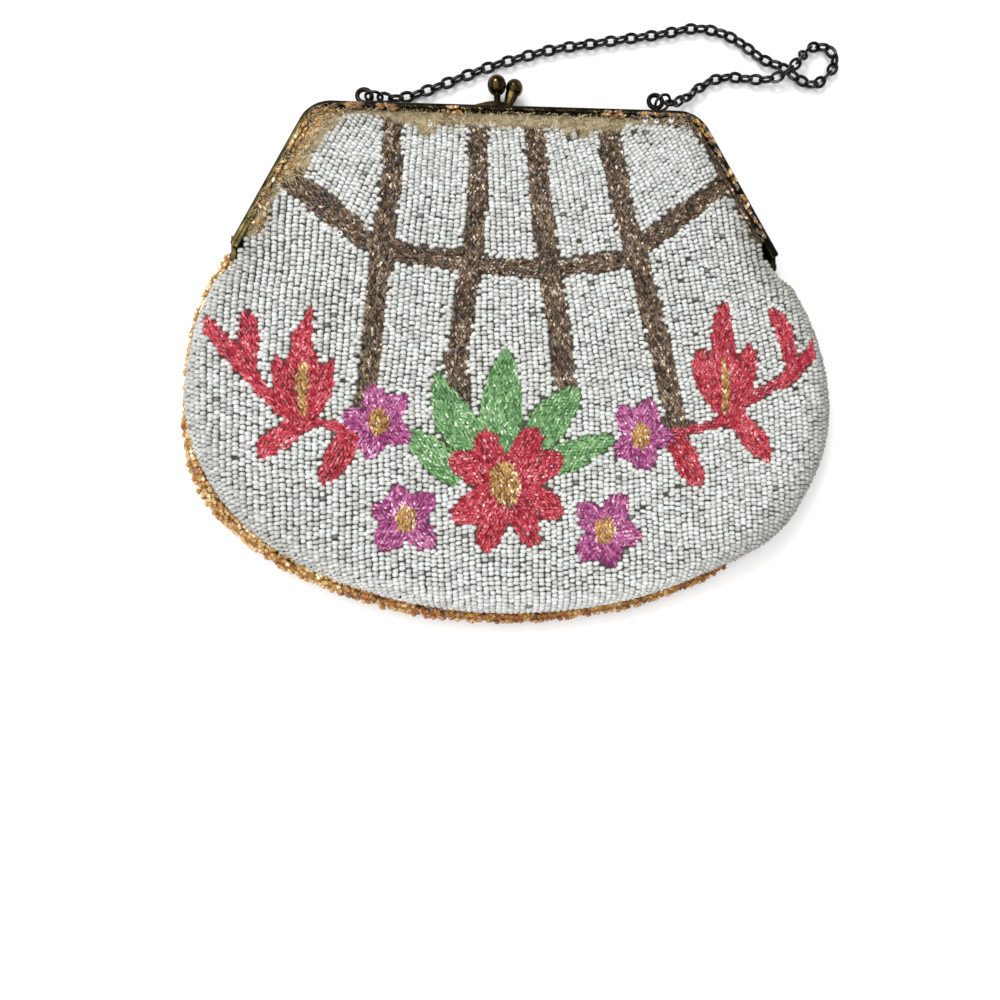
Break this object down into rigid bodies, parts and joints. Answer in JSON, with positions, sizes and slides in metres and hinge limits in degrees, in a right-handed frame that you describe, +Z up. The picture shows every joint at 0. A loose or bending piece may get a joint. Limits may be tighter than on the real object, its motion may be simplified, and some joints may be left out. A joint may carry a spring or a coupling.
{
  "type": "beaded handbag",
  "caption": "Flat beaded evening handbag with a rounded pouch, a hinged trapezoid metal frame, a kiss clasp, a beaded edge seam and a link chain handle, lying on its back.",
  "frame": {"origin": "middle of the bag's flat back, on the surface that it lies on", "axes": "+Z up out of the decorated front, +Y from the pouch's bottom toward the metal frame, +X to the right seen from the front"},
  "size_m": [0.1872, 0.1707, 0.0146],
  "materials": {
    "beaded_cloth": "white opaque glass seed beads sewn in columns on tan cloth, with a coloured lattice and flowers",
    "amber_beads": "clear amber seed beads",
    "frame_brass": "antique brass, darkened, worn olive at the edges",
    "clasp_brass": "polished brass with a dark patina",
    "chain_metal": "gunmetal, satin"
  },
  "bodies": {
    "root": {"front_panel": "beaded_cloth", "back_panel": "beaded_cloth", "edging": "amber_beads", "frame_front": "frame_brass", "frame_back": "frame_brass", "hinge_rivet_right": "frame_brass", "hinge_rivet_left": "frame_brass", "clasp_knob_front": "clasp_brass", "clasp_knob_back": "clasp_brass", "jump_ring_left": "chain_metal", "jump_ring_right": "chain_metal", "chain": "chain_metal"}
  },
  "joints": []
}
